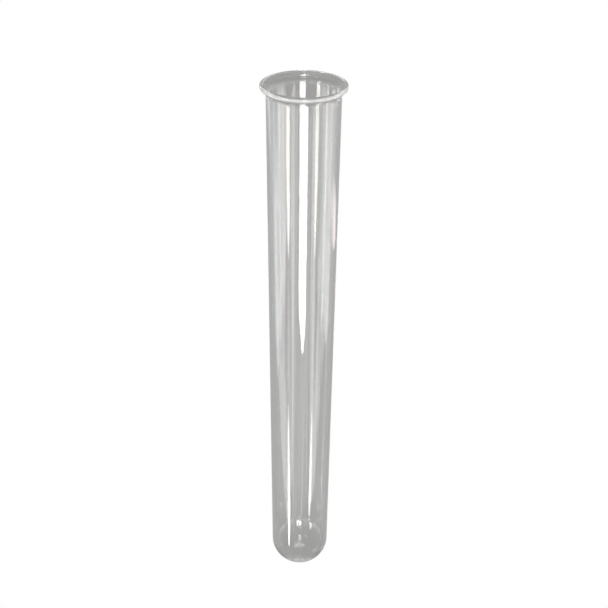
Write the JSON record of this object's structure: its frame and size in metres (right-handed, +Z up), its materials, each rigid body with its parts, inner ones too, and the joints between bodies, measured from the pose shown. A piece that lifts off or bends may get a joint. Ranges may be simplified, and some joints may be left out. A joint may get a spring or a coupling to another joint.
{
  "type": "rain gauge tube",
  "caption": "Clear measuring tube of a manual rain gauge: straight bore, flared lip that hangs in a holder ring, round closed bottom.",
  "frame": {"origin": "lowest point of the round bottom, on the tube's axis", "axes": "+Z up along the tube's axis, towards the open lip"},
  "size_m": [0.0324, 0.0324, 0.252],
  "materials": {
    "clear_glass": "clear and smooth, with a fire-polished lip"
  },
  "bodies": {
    "root": {"gauge_tube": "clear_glass"}
  },
  "joints": []
}
